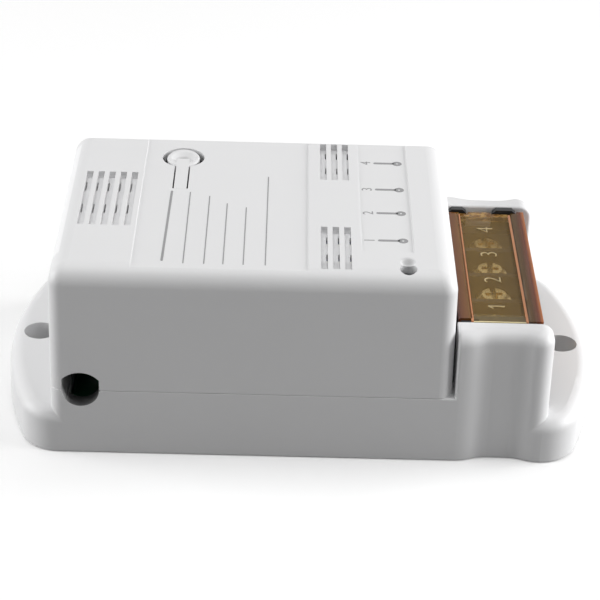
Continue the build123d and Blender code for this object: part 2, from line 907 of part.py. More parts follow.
def relay_yoke():
    half = yoke_width / 2
    left = coil_x() - yoke_to_coil
    yoke = block(left, coil_x() + bobbin_radius(), -half, half, relay_floor(), yoke_base_top())
    yoke += block(left, left + yoke_thickness, -half, half, relay_floor(), hinge_level())
    return yoke - post(coil_x(), 0, 0, yoke_base_top() + overrun, core_radius / 2 + hole_clearance)


def relay_core():
    """Round iron core with a riveted foot in the yoke"""
    core = post(coil_x(), 0, yoke_base_top(), core_top(), core_radius)
    return core + post(coil_x(), 0, relay_floor(), yoke_base_top() + touch, core_radius / 2)


def relay_bobbin():
    low, high = yoke_base_top(), bobbin_top()
    bore = core_radius + hole_clearance
    spool = post(coil_x(), 0, low, high, bore + bobbin_wall)
    spool += post(coil_x(), 0, low, low + bobbin_flange, bobbin_radius())
    spool += post(coil_x(), 0, high - bobbin_flange, high, bobbin_radius())
    return spool - post(coil_x(), 0, low - overrun, high + overrun, bore)


def relay_winding():
    low = yoke_base_top() + bobbin_flange
    high = bobbin_top() - bobbin_flange
    tube = post(coil_x(), 0, low, high, bobbin_radius() - winding_margin)
    return tube - post(coil_x(), 0, low - overrun, high + overrun, core_radius + hole_clearance + bobbin_wall)


def armature_bottom():
    return hinge_level() + armature_seat


def relay_armature():
    half = armature_width / 2
    left = coil_x() - yoke_to_coil
    return block(left, coil_x() + armature_overlap, -half, half, armature_bottom(),
                 armature_bottom() + armature_thickness)


def contact_x():
    return relay_right - relay_wall - leaf_end_margin - contact_radius


def leaf_bottom():
    return armature_bottom() + armature_thickness


def relay_leaf():
    """Spring strip on the armature with the moving contact at its free end"""
    half = leaf_width / 2
    leaf = block(hinge_x(), contact_x() + contact_radius, -half, half, leaf_bottom(),
                 leaf_bottom() + leaf_thickness)
    return leaf + post(contact_x(), 0, leaf_bottom() - contact_button, leaf_bottom() + touch, contact_radius)


def relay_fixed_contact():
    """Bent blade that carries the fixed contact below the moving one"""
    top = leaf_bottom() - contact_button - contact_gap - contact_button
    half = leaf_width / 2
    right = contact_x() + contact_radius + fixed_arm_thickness
    blade = block(right - fixed_arm_thickness, right, -half, half, relay_floor(), top)
    blade += block(contact_x() - contact_radius, right, -half, half, top - fixed_arm_thickness, top)
    return blade + post(contact_x(), 0, top - touch, top + contact_button, contact_radius)


def relay_pins():
    return [post(x, y, board_bottom - relay_pin_drop, relay_floor(), relay_pin_radius)
            for x, y in relay_pin_places()]


def switch_body():
    half = switch_size / 2
    body = block(tab_x - half, tab_x + half, tab_y - half, tab_y + half, board_top, board_top + switch_body_height)
    body = chamfer(body.edges().filter_by(Axis.Z), switch_size / 12)
    return body - post(tab_x, tab_y, board_top + switch_body_height / 3, board_top + switch_height,
                       switch_plunger_radius + hole_clearance)


def switch_plunger():
    low = board_top + switch_body_height / 3 + switch_travel + switch_gap
    return post(tab_x, tab_y, low, switch_top, switch_plunger_radius)


def status_led():
    """Chip lamp with a small domed lens, at the board's edge below the light pipe"""
    half = led_size / 2
    y = -inner_side + 2 * board_clearance + half
    base_top = board_top + led_height - led_lens_radius
    lens = Pos(indicator_x, y, base_top) * Sphere(led_lens_radius)
    lens += block(indicator_x - half, indicator_x + half, y - half, y + half, board_top, base_top)
    return lens - post(indicator_x, y, 0, board_top, led_size)


def light_pipe():
    """Clear rod held by the cover's collar; it ends above the tongue of the tray"""
    low = parting_height + lip_height + loose_fit
    return post(indicator_x, indicator_y, low, height - pipe_below_top, pipe_radius)


def radio_face():
    """Inner face of the radio board, which stands on edge"""
    return inner_left + board_clearance + radio_inset + radio_board_thickness


def radio_board():
    return block(radio_face() - radio_board_thickness, radio_face(), -radio_length / 2, radio_length / 2,
                 board_top, board_top + radio_height)


def radio_shield():
    """Sheet-metal can on the radio board, open towards the board"""
    x0, x1 = radio_face(), radio_face() + shield_height
    y0 = -radio_length / 2 + shield_margin
    z0, z1 = board_top + shield_margin, board_top + radio_height - shield_margin
    can = block(x0, x1, y0, y0 + shield_length, z0, z1)
    can = fillet(can.edges().filter_by(Axis.X), shield_wall * 2)
    return can - block(x0 - overrun, x1 - shield_wall, y0 + shield_wall, y0 + shield_length - shield_wall,
                       z0 + shield_wall, z1 - shield_wall)


def receiver_x():
    return relay_left - receiver_to_relay


def receiver_board():
    """Small receiver board standing on edge left of the relay"""
    y0 = front + receiver_to_front
    return block(receiver_x() - receiver_thickness, receiver_x(), y0, y0 + receiver_length, board_top,
                 board_top + receiver_board_height)


def receiver_antenna():
    """Outer shape of the receiver's coil antenna, behind its board"""
    y = front + receiver_to_front + receiver_length + antenna_radius + antenna_to_relay
    x = relay_left - antenna_to_relay - antenna_radius
    coil = post(x, y, board_top, board_top + antenna_height, antenna_radius)
    return coil - post(x, y, board_top + overrun, board_top + antenna_height + overrun, antenna_bore_radius)


def row_depth():
    """Room for parts between the relay and the side wall"""
    return inner_side - part_to_wall - relay_width / 2 - part_to_relay


def row_spans(shares):
    """Left and right end of each part in a row that ends at the right-hand bosses"""
    first = max(relay_left + part_gap, tab_x + switch_size / 2 + part_gap)
    last = cover_right - right_boss_inset - boss_radius - row_to_boss
    room = last - first - part_gap * (len(shares) - 1)
    spans = []
    for share in shares:
        spans.append((first, first + room * share))
        first += room * share + part_gap
    return spans


def rear_line(half_depth):
    """Middle of a part of the given half depth that stands behind the relay"""
    return relay_width / 2 + part_to_relay + half_depth


def capacitor(place, can_height):
    """Aluminium can with a bevelled top and a crimp groove"""
    x0, x1 = row_spans(rear_row_shares)[place]
    x = (x0 + x1) / 2
    radius = min(x1 - x0, row_depth()) / 2
    can = post(x, rear_line(radius), board_top, board_top + can_height, radius)
    can = chamfer(can.edges().sort_by(Axis.Z)[-1], can_edge)
    groove = post(x, rear_line(radius), board_top + can_edge, board_top + 2 * can_edge, radius + overrun)
    groove -= post(x, rear_line(radius), 0, height, radius - can_edge / 2)
    return can - groove


def power_inductor():
    """Shielded drum inductor with cut corners and its drum face"""
    x0, x1 = row_spans(rear_row_shares)[-1]
    half = min(x1 - x0, row_depth()) / 2
    x, y = (x0 + x1) / 2, rear_line(half)
    body = block(x - half, x + half, y - half, y + half, board_top, board_top + inductor_height)
    body = chamfer(body.edges().filter_by(Axis.Z), half / 3)
    ring = post(x, y, board_top + inductor_height - can_edge, board_top + inductor_height + overrun, half * 2 / 3)
    return body - (ring - post(x, y, board_top, height, half / 2))


def front_part(place):
    """Corners in plan of a part in the front row"""
    x0, x1 = row_spans(front_row_shares)[place]
    y1 = -relay_width / 2 - part_to_relay
    return x0, x1, y1 - row_depth() * front_depth_shares[place], y1


def bridge_rectifier():
    x0, x1, y0, y1 = front_part(0)
    body = block(x0, x1, y0, y1, board_top, board_top + rectifier_height)
    return chamfer(body.faces().sort_by(Axis.Z)[-1].edges(), can_edge)


def input_fuse():
    x0, x1, y0, y1 = front_part(1)
    body = block(x0, x1, y0, y1, board_top, board_top + fuse_height)
    return chamfer(body.edges().filter_by(Axis.Z), can_edge)


def driver_transistor():
    """Half-round three-leg transistor"""
    x0, x1, y0, y1 = front_part(2)
    x, y, radius = (x0 + x1) / 2, (y0 + y1) / 2, min(x1 - x0, y1 - y0) / 2
    low = board_top + overrun
    body = post(x, y, low, low + transistor_height, radius)
    body -= block(x - 2 * radius, x + 2 * radius, y + radius / 2, y + 2 * radius, board_top, height)
    for i in (-1, 0, 1):
        body += post(x + i * radius / 2, y, board_top, low + touch, leg_radius)
    return body


def regulator_chip():
    """Regulator beside the switch"""
    x1 = tab_x - switch_size / 2 - part_gap
    y = tab_y
    body = block(x1 - chip_length, x1, y - chip_width / 2, y + chip_width / 2, board_top, board_top + chip_height)
    return chamfer(body.faces().sort_by(Axis.Z)[-1].edges(), can_edge / 2)


def pieces():
    """Every node of the module by name"""
    return {
        "base_housing": base_housing(),
        "top_cover": top_cover(),
        "button_tab": button_tab(),
        "cover_screws": cover_screws(),
        "circuit_board": circuit_board(),
        "terminal_block": terminal_block(),
        "terminal_contacts": terminal_contacts(),
        "terminal_clamps": terminal_clamps(),
        "terminal_screws": terminal_screws(),
        "terminal_lid": terminal_lid(),
        "relay_base": relay_base(),
        "relay_case": relay_case(),
        "relay_yoke": relay_yoke(),
        "relay_core": relay_core(),
        "relay_bobbin": relay_bobbin(),
        "relay_winding": relay_winding(),
        "relay_armature": relay_armature(),
        "relay_leaf": relay_leaf(),
        "relay_fixed_contact": relay_fixed_contact(),
        "relay_pins": relay_pins(),
        "switch_body": switch_body(),
        "switch_plunger": switch_plunger(),
        "status_led": status_led(),
        "light_pipe": light_pipe(),
        "radio_board": radio_board(),
        "radio_shield": radio_shield(),
        "receiver_board": receiver_board(),
        "receiver_antenna": receiver_antenna(),
        "input_capacitor": capacitor(0, input_capacitor_height),
        "output_capacitor": capacitor(1, output_capacitor_height),
        "power_inductor": power_inductor(),
        "bridge_rectifier": bridge_rectifier(),
        "input_fuse": input_fuse(),
        "driver_transistor": driver_transistor(),
        "regulator_chip": regulator_chip(),
    }


os.makedirs("parts", exist_ok=True)
for name, shape in pieces().items():
    if isinstance(shape, list):
        shape = Compound(children=shape)
    export_step(shape, f"parts/{name}.step")

# The motion that the sizes give, for the record of the joints
press_angle = degrees(asin(switch_travel / tab_reach))
close_angle = degrees(asin((contact_gap - contact_kiss) / (contact_x() + contact_radius - hinge_x())))
print("tab hinge at", fold_y + touch, panel_top - tab_arm_thickness, "press angle", press_angle)
print("lid hinge at", pivot_x(), pivot_z())
print("armature hinge at", hinge_x(), hinge_level() + armature_seat / 2, "close angle", close_angle)
print("mount holes at", mount_x, "terminal line", terminal_x(), "tab x", tab_x)
print("terminal floor", board_top + block_floor_height + contact_thickness, "clamp bottom", clamp_bottom())
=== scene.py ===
import json
from math import atan2, cos, pi, radians, sin

import bmesh
import bpy
from mathutils import Matrix, Vector


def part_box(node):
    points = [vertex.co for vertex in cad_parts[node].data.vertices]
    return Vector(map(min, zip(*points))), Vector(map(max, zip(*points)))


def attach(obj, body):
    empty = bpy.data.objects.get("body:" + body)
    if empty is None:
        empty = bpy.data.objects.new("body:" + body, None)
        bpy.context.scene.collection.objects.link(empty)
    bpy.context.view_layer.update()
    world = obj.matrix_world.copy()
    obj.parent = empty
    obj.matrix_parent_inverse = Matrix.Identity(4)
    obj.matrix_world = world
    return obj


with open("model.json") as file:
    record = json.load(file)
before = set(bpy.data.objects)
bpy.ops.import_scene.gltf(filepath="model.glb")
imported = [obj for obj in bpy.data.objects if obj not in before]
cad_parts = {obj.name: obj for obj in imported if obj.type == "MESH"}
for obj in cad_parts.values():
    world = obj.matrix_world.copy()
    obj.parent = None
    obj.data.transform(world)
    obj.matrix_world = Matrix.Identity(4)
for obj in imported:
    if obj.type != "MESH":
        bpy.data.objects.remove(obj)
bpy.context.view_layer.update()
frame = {"nodes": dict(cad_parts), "record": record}

# Sizes and places below are in millimetres from the frame's origin, and this turns them into metres
MM = 0.001

# The camera, fitted to the photograph's edges, with its angles in degrees
CAMERA_DISTANCE = 383.27
CAMERA_TARGET = (-0.35, 0.0, 16.08)
CAMERA_ELEVATION = 29.69
CAMERA_YAW = -0.63
CAMERA_ROLL = 1.73
CAMERA_NEAR_LIMIT = 10.0
FOCAL_PX = 2111.28
FRAME_PX = 600
SENSOR_WIDTH = 36.0

# Light: a lamp above and one at each side (place, size and watts), and dim surroundings
LAMPS = {
    "top": ((0.0, 0.0, 900.0), (900.0, 800.0), 4.1),
    "left": ((-750.0, 0.0, 250.0), (600.0, 500.0), 4.6),
    "right": ((750.0, 0.0, 250.0), (600.0, 500.0), 7.0),
}
LAMP_TARGET = (0.0, 0.0, 20.0)
WORLD_LIGHT = 0.05

# Floor: half its width, how far it lies below the object, its white and glow where it is seen, and its grey
# as a source of bounced light
FLOOR_REACH = 3000.0
FLOOR_DROP = 0.1
FLOOR_WHITE = 0.97
FLOOR_GLOW = 0.12
FLOOR_BOUNCE = 0.35

# Noise in the materials: scale and detail of each pattern, and the range where most of its values lie
PLASTIC_CLOUD = (60.0, 2.0)
PLASTIC_GRAIN = (9000.0, 2.0)
GLOSS_PATCHES = (140.0, 4.0)
METAL_TARNISH = (500.0, 4.0)
METAL_MARKS = (3000.0, 3.0)
LID_CLOUD = (90.0, 2.0)
LID_BAND_PATCHES = (700.0, 1.0)
LID_RIPPLE = (400.0, 2.0)
NOISE_RANGE = (0.3, 0.7)

# Bump in the materials: strength and depth
PLASTIC_BUMP = (0.12, 0.02)
RELIEF_BUMP = (0.03, 0.02)
METAL_BUMP = (0.25, 0.01)
LID_BUMP = (0.03, 0.05)

# How far the gloss patches and the tooling marks take a roughness from its plain value, as factors
PLASTIC_ROUGHNESS_SPREAD = (0.88, 1.1)
METAL_ROUGHNESS_SPREAD = (0.75, 1.3)
PLASTIC_IOR = 1.46

# Plastics: colour, the share by which its faint patches are darker, and roughness
WHITE_SHELL = ((0.80, 0.80, 0.805), 0.012, 0.42)
PLASTICS = {
    "black_plastic": ((0.010, 0.010, 0.011), 0.3, 0.5),
    "board_green": ((0.015, 0.13, 0.05), 0.2, 0.3),
    "board_blue": ((0.01, 0.05, 0.18), 0.2, 0.3),
    "relay_blue": ((0.02, 0.10, 0.36), 0.08, 0.3),
    "bobbin_nylon": ((0.72, 0.69, 0.6), 0.06, 0.4),
    "led_lens": ((0.7, 0.8, 0.85), 0.05, 0.15),
    "clear_pipe": ((0.10, 0.105, 0.11), 0.05, 0.12),
    "ferrite": ((0.05, 0.05, 0.05), 0.2, 0.6),
    "fuse_brown": ((0.1, 0.045, 0.03), 0.2, 0.4),
    "grey_ink": ((0.33, 0.33, 0.335), 0.1, 0.55),
}
RELIEF_PLASTICS = {
    # Painted highlight: the ribs are a brighter orange than the lid, where light catches them
    "rib_highlight_amber": ((0.52, 0.20, 0.07), 0.15, 0.2),
    # Painted highlight: a pale bar standing in for light along the lid's near edge
    "edge_highlight_amber": ((0.80, 0.68, 0.36), 0.1, 0.2),
    "number_amber": ((0.62, 0.49, 0.25), 0.35, 0.2),
}

# Metals: the same three values
METALS = {
    "brass_plate": ((0.80, 0.62, 0.32), 0.15, 0.3),
    # Painted light: the screws' brass is a lighter copy of the plates' brass, to brighten their glints under
    # the lid
    "brass_screw": ((0.98, 0.78, 0.37), 0.25, 0.28),
    "steel": ((0.62, 0.62, 0.63), 0.15, 0.3),
    "relay_iron": ((0.55, 0.55, 0.54), 0.15, 0.35),
    "copper_wire": ((0.75, 0.34, 0.16), 0.15, 0.3),
    "contact_bronze": ((0.75, 0.5, 0.3), 0.12, 0.3),
    "tinned_pins": ((0.7, 0.7, 0.7), 0.1, 0.3),
    "can_metal": ((0.6, 0.6, 0.62), 0.1, 0.3),
}

# The lid from its left edge to its right one: share of its width, tint and opacity there. Its middle panel
# is where the opacity is under the limit.
LID_TINTS = [
    (0.0, (0.10, 0.03, 0.02), 0.9),
    (0.05, (0.15, 0.05, 0.015), 0.9),
    (0.12, (0.20, 0.08, 0.02), 0.85),
    (0.155, (0.21, 0.10, 0.02), 0.8),
    (0.165, (0.34, 0.205, 0.05), 0.3),
    (0.80, (0.34, 0.205, 0.05), 0.3),
    (0.82, (0.13, 0.075, 0.015), 0.8),
    (0.90, (0.11, 0.045, 0.01), 0.85),
    (0.955, (0.16, 0.03, 0.005), 0.9),
    # Painted highlight: the bright orange along the lid's right edge
    (1.0, (0.60, 0.20, 0.06), 0.9),
]
LID_PANEL_LIMIT = 0.5

# Bands over the lid's middle panel, golden patches with painted glints at the rear and painted shade at the
# front:
# how far from the lid's end each starts to show and shows in full, its two tints, and its opacity
# Rear band: golden patches over the lid's rear, partly the colour of the brass behind it and partly painted
# glints
LID_REAR_BAND = (2.9, 2.3)
LID_REAR_BRASS_AND_GLINT_TINTS = ((0.28, 0.13, 0.03), (0.62, 0.38, 0.13))
LID_REAR_OPACITY = 0.6
# Front band: painted shade, a dark and nearly opaque patch over the lid's front
LID_FRONT_BAND = (3.3, 2.5)
LID_FRONT_SHADE_TINTS = ((0.13, 0.09, 0.03), (0.15, 0.105, 0.035))
LID_FRONT_OPACITY = 0.96
LID_BAND_RANGE = (0.42, 0.6)

# The lid's surface
LID_CLOUD_TONES = ((0.9, 0.9, 0.88), (1.0, 1.0, 1.0))
LID_ROUGHNESS = (0.05, 0.09)
LID_IOR = 1.5
LID_GLOSS = 0.2

# Painted shade and painted light: tones multiply the white shell's colour at four places. The first is
# painted
# shade in the cable hole: its middle in X and Z, its radius, and where in Y the tone starts and where it has
# faded out.
CABLE_HOLE = (-37.7, 12.7)
CABLE_HOLE_RADIUS = 3.3
CABLE_BORE = (-26.95, -17.0)
CABLE_BORE_EDGE = 0.05
CABLE_BORE_FADE = 1.0
CABLE_BORE_PAINTED_SHADE = 0.2

# Painted shade in the tab's dish over the switch: the radii where the tone is full and where it ends, and how
# far in front of the switch it ends and is full
DISH_SPOT_RADII = (0.3, 1.7)
DISH_SPOT_FRONT = (0.6, 0.4)
DISH_PAINTED_SHADE = 0.4

# Painted shade in the scoop behind the indicator's hole: how far behind the light pipe its middle is, and the
# same two radii
SCOOP_SPOT_SETBACK = 2.8
SCOOP_SPOT_RADII = (0.2, 1.6)
SCOOP_PAINTED_SHADE = 0.62

# Painted light in the vents, standing in for light through their thin plastic: depths where the tone starts,
# is full and ends, the ends of their rows in Y, and the stretch in X that has no vents
VENT_DEPTHS = (0.6, 0.7, 3.0)
VENT_EDGE = 0.1
VENT_ROWS = (-20.0, 23.0)
VENT_ROW_FADE = 1.0
VENT_FREE_MIDDLE = -14.5
VENT_FREE_REACH = 12.4
VENT_PAINTED_LIGHT = 1.15

# Ink marks on the cover
INK_RISE = 0.02
TERMINAL_MARK_ROWS = {"4": 16.9, "3": 6.2, "2": -3.0, "1": -13.2}
MARK_HEAD_X = 16.9
MARK_HEAD_RADIUS = 0.87
MARK_HEAD_HOLE = MARK_HEAD_RADIUS / 4
MARK_TAIL_X = 12.9
MARK_TAIL_WIDTH = 0.7
MARK_NUMBER_X = 11.2
MARK_NUMBER_HEIGHT = 1.9
LABEL_RULE = ((-24.0, -22.2), (-23.7, 3.5))
LABEL_RULE_WIDTH = 0.42
LABEL_LINES_START = -23.0
LABEL_LINE_WIDTH = 0.2
LABEL_LINES = [(-20.4, 3.3), (-16.9, 1.9), (-13.7, -0.8), (-10.3, -2.2), (-6.6, 10.1)]

# Relief on the lid, placed from its edges and from the middle of its four poles. The flag is the short stroke
# at the head of a 1, given by where it ends.
POLE_PITCH = 9.5
LID_LEFT_STRIP = 2.4
LID_RIGHT_STRIP = 2.8
LID_STRIP_RISE = 0.25
LID_RIB_WIDTH = 0.42
LID_RIB_MARGIN = 0.5
LID_RIB_REAR_MARGIN = 2.2
# The near edge's painted highlight: a thin pale bar along the lid
LID_EDGE_WIDTH = 0.3
LID_EDGE_MARGIN = 0.5
LID_EDGE_RISE = LID_STRIP_RISE / 2
LID_NUMBERS = "1234"
LID_NUMBER_X = 33.8
LID_NUMBER_SHIFT = -0.9
LID_NUMBER_HEIGHT = 3.2
LID_NUMBER_RISE = 0.12
LID_NUMBER_WEIGHT = -0.09
LID_FLAG = (0.75, -0.7)
LID_FLAG_WIDTH = 0.22

# The font's size against a numeral's height, and how finely round shapes are cut
NUMERAL_SIZE = 1.4
NUMERAL_STEPS = 4
BAR_END_STEPS = 6
RING_STEPS = 28


def link(obj):
    bpy.context.scene.collection.objects.link(obj)
    return obj


def box_mm(node):
    """A CAD node's lowest and highest corners, in millimetres"""
    return [[c / MM for c in corner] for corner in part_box(node)]


def middle(node):
    low, high = box_mm(node)
    return (Vector(low) + Vector(high)) / 2


def make_camera():
    """Camera at the photograph's viewing angle"""
    yaw, elevation, roll = (radians(v) for v in (CAMERA_YAW, CAMERA_ELEVATION, CAMERA_ROLL))
    back = Vector((sin(yaw) * cos(elevation), -cos(yaw) * cos(elevation), sin(elevation)))
    right = Vector((0, 0, 1)).cross(back).normalized()
    up = back.cross(right)
    rolled_right = cos(roll) * right + sin(roll) * up
    rolled_up = -sin(roll) * right + cos(roll) * up
    place = Matrix.Translation((Vector(CAMERA_TARGET) + back * CAMERA_DISTANCE) * MM)
    turn = Matrix((rolled_right, rolled_up, back)).transposed().to_4x4()
    data = bpy.data.cameras.new("camera")
    data.sensor_width = SENSOR_WIDTH
    data.lens = FOCAL_PX / FRAME_PX * SENSOR_WIDTH
    data.clip_start = CAMERA_NEAR_LIMIT * MM
    camera = link(bpy.data.objects.new("camera", data))
    camera.matrix_world = place @ turn
    bpy.context.scene.camera = camera


# Node trees

def grey(level):
    return (level, level, level, 1)


def feed(tree, target, source):
    """Puts another node's output, or a plain value, into a socket"""
    if isinstance(source, bpy.types.NodeSocket):
        tree.links.new(source, target)
    else:
        target.default_value = source


def add_node(tree, kind, inputs, **settings):
    """A new node with its settings, then its inputs, each by name or by place"""
    node = tree.nodes.new(kind)
    for name, value in settings.items():
        setattr(node, name, value)
    for name, source in inputs.items():
        feed(tree, node.inputs[name], source)
    return node


def maths(tree, operation, first, second):
    """The result of an operation on two outputs or numbers"""
    return add_node(tree, "ShaderNodeMath", {0: first, 1: second}, operation=operation).outputs["Value"]


class Nodes:
    """Short calls for building one material's node tree"""

    def __init__(self, name):
        self.material = bpy.data.materials.new(name)
        self.material.use_nodes = True
        self.tree = self.material.node_tree
        self.shader = self.tree.nodes["Principled BSDF"]
        self.coords = self.add("ShaderNodeTexCoord", {}).outputs["Object"]
        self.base_colour = None

    def add(self, kind, inputs, **settings):
        return add_node(self.tree, kind, inputs, **settings)

    def surface(self, socket, source):
        """An output or a plain value on one of the shader's own sockets"""
        feed(self.tree, self.shader.inputs[socket], source)

    def colour(self, source):
        """Joins a colour to the shader, and keeps it for a tone over it"""
        self.base_colour = source
        self.surface("Base Color", source)

    def shade(self, mask, tone):
        """Multiplies the colour so far by a tone where the mask is 1"""
        self.colour(self.mix(mask, self.base_colour, grey(tone), "MULTIPLY"))

    def mix(self, mask, first, second, blend_type="MIX"):
        """The first colour where the mask is 0, and the second mixed in or multiplied in where it is 1"""
        inputs = {"Factor": mask, "A": first, "B": second}
        return self.add("ShaderNodeMix", inputs, data_type="RGBA", blend_type=blend_type).outputs["Result"]

    def times(self, first, *others):
        """The product of two or more masks"""
        for other in others:
            first = maths(self.tree, "MULTIPLY", first, other)
        return first

    def near(self, point, full, none, along=(1, 1, 1)):
        """1 at one distance from a point, 0 at the other; an axis that has 0 in along isn't counted"""
        flat = self.add("ShaderNodeVectorMath", {0: self.coords, 1: along}, operation="MULTIPLY")
        centre = [c * MM * counted for c, counted in zip(point, along)]
        inputs = {0: flat.outputs["Vector"], 1: centre}
        distance = self.add("ShaderNodeVectorMath", inputs, operation="DISTANCE").outputs["Value"]
        inputs = {"Value": distance, "From Min": none * MM, "From Max": full * MM}
        return self.add("ShaderNodeMapRange", inputs, interpolation_type="SMOOTHSTEP").outputs["Result"]

    def share(self, axis, none, full):
        """0 at one level of an axis, 1 at the other, and even between them"""
        level = self.add("ShaderNodeSeparateXYZ", {"Vector": self.coords}).outputs[axis]
        inputs = {"Value": level, "From Min": none * MM, "From Max": full * MM}
        return self.add("ShaderNodeMapRange", inputs).outputs["Result"]

    def noise(self, scale, detail):
        inputs = {"Vector": self.coords, "Scale": scale, "Detail": detail}
        return self.add("ShaderNodeTexNoise", inputs).outputs["Fac"]

    def ramp(self, factor, low, high, span=NOISE_RANGE):
        """Colour from low to high as the factor goes through its span"""
        ramp = self.add("ShaderNodeValToRGB", {"Fac": factor})
        for stop, place, colour in zip(ramp.color_ramp.elements, span, (low, high)):
            stop.position = place
            stop.color = (*colour, 1)
        return ramp.outputs["Color"]

    def patches(self, pattern, colour, shade):
        """The shader's colour, with faint patches that are darker by a share"""
        low = tuple(c * (1 - shade) for c in colour)
        self.colour(self.ramp(self.noise(*pattern), low, colour))

    def roughness(self, factor, low, high):
        """The shader's roughness from low to high as the factor goes through a noise's range"""
        inputs = {"Value": factor, "From Min": NOISE_RANGE[0], "From Max": NOISE_RANGE[1],
                  "To Min": low, "To Max": high}
        self.surface("Roughness", self.add("ShaderNodeMapRange", inputs).outputs["Result"])

    def bump(self, height, strength, depth):
        inputs = {"Strength": strength, "Distance": depth * MM, "Height": height}
        self.surface("Normal", self.add("ShaderNodeBump", inputs).outputs["Normal"])


# Materials

def plastic(name, colour, shade, roughness, bump=PLASTIC_BUMP):
    """Moulded plastic: faint cloudiness in colour, a fine spark-eroded grain and uneven gloss"""
    nodes = Nodes(name)
    nodes.patches(PLASTIC_CLOUD, colour, shade)
    low, high = (roughness * factor for factor in PLASTIC_ROUGHNESS_SPREAD)
    nodes.roughness(nodes.noise(*GLOSS_PATCHES), low, high)
    nodes.bump(nodes.noise(*PLASTIC_GRAIN), *bump)
    nodes.surface("IOR", PLASTIC_IOR)
    return nodes


def metal(name, colour, shade, roughness):
    """Metal with a faint tarnish and fine tooling marks"""
    nodes = Nodes(name)
    nodes.patches(METAL_TARNISH, colour, shade)
    marks = nodes.noise(*METAL_MARKS)
    low, high = (roughness * factor for factor in METAL_ROUGHNESS_SPREAD)
    nodes.roughness(marks, low, high)
    nodes.bump(marks, *METAL_BUMP)
    nodes.surface("Metallic", 1.0)
    return nodes


def white_shell_material():
    """White shell: painted shade in the cable hole, the tab's dish and the scoop, and painted light in the
    vents
    """
    nodes = plastic("white_shell", *WHITE_SHELL)
    nodes.shade(bore_painted_shade_mask(nodes), CABLE_BORE_PAINTED_SHADE)
    nodes.shade(dish_painted_shade_mask(nodes), DISH_PAINTED_SHADE)
    nodes.shade(scoop_painted_shade_mask(nodes), SCOOP_PAINTED_SHADE)
    nodes.shade(vent_painted_light_mask(nodes), VENT_PAINTED_LIGHT)
    return nodes.material


def bore_painted_shade_mask(nodes):
    """Painted shade: 1 in the cable hole from the front wall inwards, 0 elsewhere"""
    x, z = CABLE_HOLE
    outer, inner = CABLE_BORE
    return nodes.times(
        nodes.near((x, 0, z), CABLE_HOLE_RADIUS, CABLE_HOLE_RADIUS + CABLE_BORE_EDGE, (1, 0, 1)),
        nodes.share("Y", outer - CABLE_BORE_EDGE, outer),
        nodes.share("Y", inner, inner - CABLE_BORE_FADE))


def dish_painted_shade_mask(nodes):
    """Painted shade: 1 at the middle of the tab's dish and behind it, 0 outside the dish and towards its
    front
    """
    point = middle("switch_plunger")
    front = nodes.share("Y", *(point.y - v for v in DISH_SPOT_FRONT))
    return nodes.times(nodes.near(point, *DISH_SPOT_RADII, (1, 1, 0)), front)


def scoop_painted_shade_mask(nodes):
    """Painted shade: 1 in the scoop behind the indicator's hole, 0 elsewhere"""
    point = middle("light_pipe") + Vector((0, SCOOP_SPOT_SETBACK, 0))
    return nodes.near(point, *SCOOP_SPOT_RADII, (1, 1, 0))


def vent_painted_light_mask(nodes):
    """Painted light: 1 below the cover's top face where the vents are, 0 elsewhere"""
    top = box_mm("top_cover")[1][2]
    start, full, deep = (top - v for v in VENT_DEPTHS)
    front, rear = VENT_ROWS
    return nodes.times(
        nodes.share("Z", start, full),
        nodes.share("Z", deep, deep + VENT_EDGE),
        nodes.share("Y", front, front + VENT_ROW_FADE),
        nodes.share("Y", rear, rear - VENT_ROW_FADE),
        nodes.near((VENT_FREE_MIDDLE, 0, 0), VENT_FREE_REACH + VENT_EDGE, VENT_FREE_REACH, (1, 0, 0)))


def amber_material():
    """Tinted clear plastic: olive over the middle panel, redder in the thicker strips at both sides, with a
    painted highlight along its right edge, painted glints at the rear and painted shade at the front
    """
    nodes = Nodes("amber_plastic")
    low, high = box_mm("terminal_lid")
    colour, opacity = lid_tint(nodes, low[0], high[0])
    panel = maths(nodes.tree, "LESS_THAN", opacity, LID_PANEL_LIMIT)
    # Rear band: golden patches, partly the brass behind the lid and partly painted glints
    rear = nodes.times(nodes.share("Y", *(high[1] - v for v in LID_REAR_BAND)), panel)
    # Front band: painted shade, dark and nearly opaque
    front = nodes.times(nodes.share("Y", *(low[1] + v for v in LID_FRONT_BAND)), panel)
    colour, opacity = add_band(nodes, rear, colour, opacity, LID_REAR_BRASS_AND_GLINT_TINTS, LID_REAR_OPACITY)
    colour, opacity = add_band(nodes, front, colour, opacity, LID_FRONT_SHADE_TINTS, LID_FRONT_OPACITY)
    nodes.surface("Alpha", opacity)
    cloud = nodes.ramp(nodes.noise(*LID_CLOUD), *LID_CLOUD_TONES)
    nodes.colour(nodes.mix(1.0, colour, cloud, "MULTIPLY"))
    nodes.roughness(nodes.noise(*GLOSS_PATCHES), *LID_ROUGHNESS)
    nodes.bump(nodes.noise(*LID_RIPPLE), *LID_BUMP)
    nodes.surface("IOR", LID_IOR)
    nodes.surface("Specular IOR Level", LID_GLOSS)
    return nodes.material


def lid_tint(nodes, left, right):
    """The lid's colour and opacity from its left edge to its right one"""
    tint = nodes.add("ShaderNodeValToRGB", {"Fac": nodes.share("X", left, right)})
    places, colours, opacities = zip(*LID_TINTS)
    stops = tint.color_ramp.elements
    for place in places[1:-1]:
        stops.new(place)
    for stop, colour, opacity in zip(stops, colours, opacities):
        stop.color = (*colour, opacity)
    return tint.outputs["Color"], tint.outputs["Alpha"]


